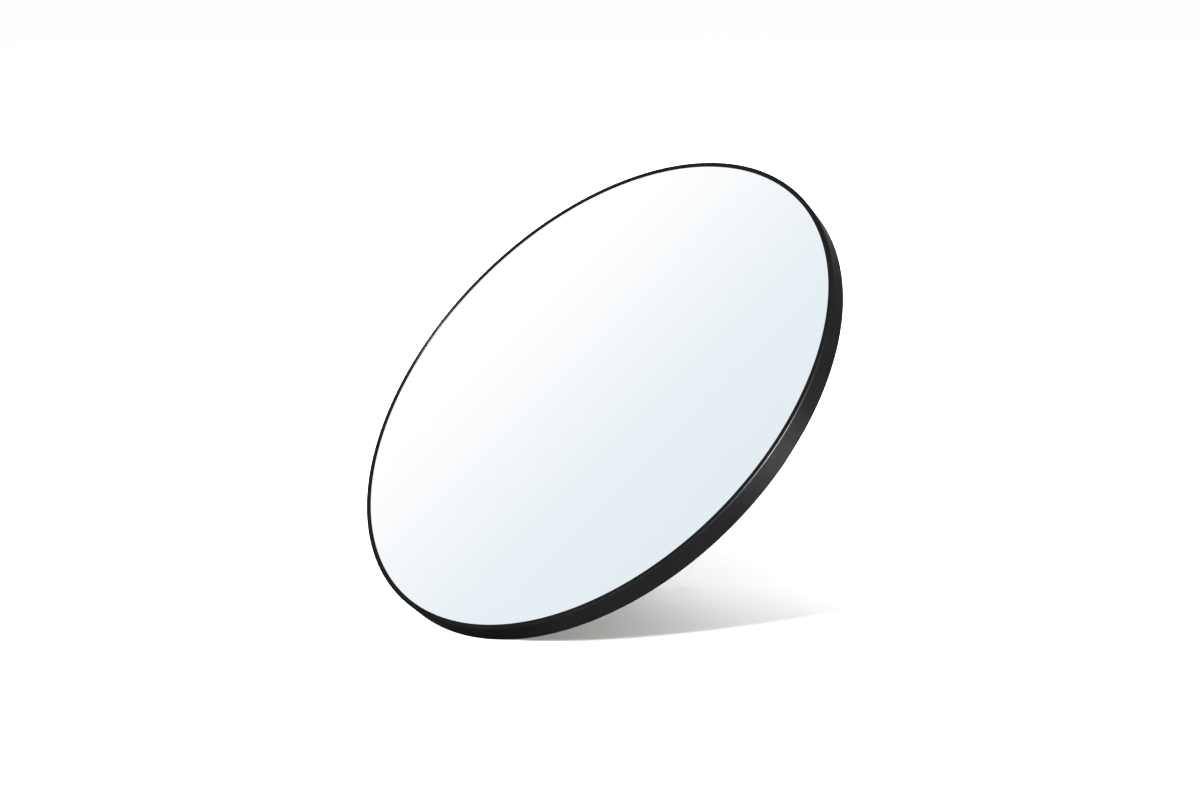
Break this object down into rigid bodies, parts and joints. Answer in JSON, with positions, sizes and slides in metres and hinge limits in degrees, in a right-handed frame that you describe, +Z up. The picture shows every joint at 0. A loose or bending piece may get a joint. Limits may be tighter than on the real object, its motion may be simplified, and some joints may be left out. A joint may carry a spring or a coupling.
{
  "type": "countertop mirror",
  "caption": "Round tilted countertop mirror: thin satin black rim, fold-out rear strut with a sliding stay, and rubber feet.",
  "frame": {"origin": "on the counter, below the centre of the bounding box, with the strut open", "axes": "+Z up; the glass faces -Y and upwards; +X to the right, seen from behind the mirror's front looking along +Y"},
  "size_m": [0.4, 0.2829, 0.3031],
  "materials": {
    "black_aluminium": "satin",
    "raw_aluminium": "satin",
    "black_tape": "matte",
    "silvered_glass": "polished",
    "safety_film": "matte",
    "foam": "matte",
    "fibreboard": "matte",
    "black_rubber": "matte",
    "black_steel": "satin",
    "zinc_steel": "satin",
    "black_nylon": "satin"
  },
  "bodies": {
    "head": {"frame_ring": "black_aluminium", "splice_key": "raw_aluminium", "glass_edge_tape": "black_tape", "mirror_glass": "silvered_glass", "backing_film": "safety_film", "foam_sheet": "foam", "backing_board": "fibreboard", "front_foot": "black_rubber", "joint_screw_left": "zinc_steel", "joint_screw_right": "zinc_steel", "foot_screw_left": "zinc_steel", "foot_screw_right": "zinc_steel", "hinge_bracket": "black_steel", "bracket_screw_1": "zinc_steel", "bracket_screw_2": "zinc_steel", "bracket_screw_3": "zinc_steel", "bracket_screw_4": "zinc_steel", "guide_plate": "zinc_steel", "guide_screw_1": "zinc_steel", "guide_screw_2": "zinc_steel", "guide_screw_3": "zinc_steel", "guide_screw_4": "zinc_steel", "hinge_pin": "zinc_steel", "hinge_clip": "zinc_steel", "hinge_washer_left": "black_nylon", "hinge_washer_right": "black_nylon", "stow_bumper": "black_rubber"},
    "strut": {"strut": "black_steel", "strut_boot": "black_rubber", "boot_screw_left": "zinc_steel", "boot_screw_right": "zinc_steel", "stay_pin": "zinc_steel"},
    "stay": {"stay_bar": "zinc_steel", "slider_pin": "zinc_steel"},
    "slider": {"slider": "black_nylon", "slider_keeper": "zinc_steel"}
  },
  "joints": [
    {"name": "strut_fold", "type": "hinge", "parent": "head", "child": "strut", "pos_m": [0, 0.01039, 0.1425], "axis": [-1, 0, 0], "range_deg": [0, 54]},
    {"name": "stay_swing", "type": "hinge", "parent": "strut", "child": "stay", "pos_m": [0, 0.02031, 0.09146], "axis": [-1, 0, 0], "range_deg": [-108, 0]},
    {"name": "slider_swivel", "type": "hinge", "parent": "stay", "child": "slider", "pos_m": [0, -0.03131, 0.09779], "axis": [-1, 0, 0], "range_deg": [0, 54]}
  ],
  "couplings": [
    {"joint": "stay_swing", "follows": "strut_fold", "ratio": -2},
    {"joint": "slider_swivel", "follows": "strut_fold", "ratio": 1}
  ]
}
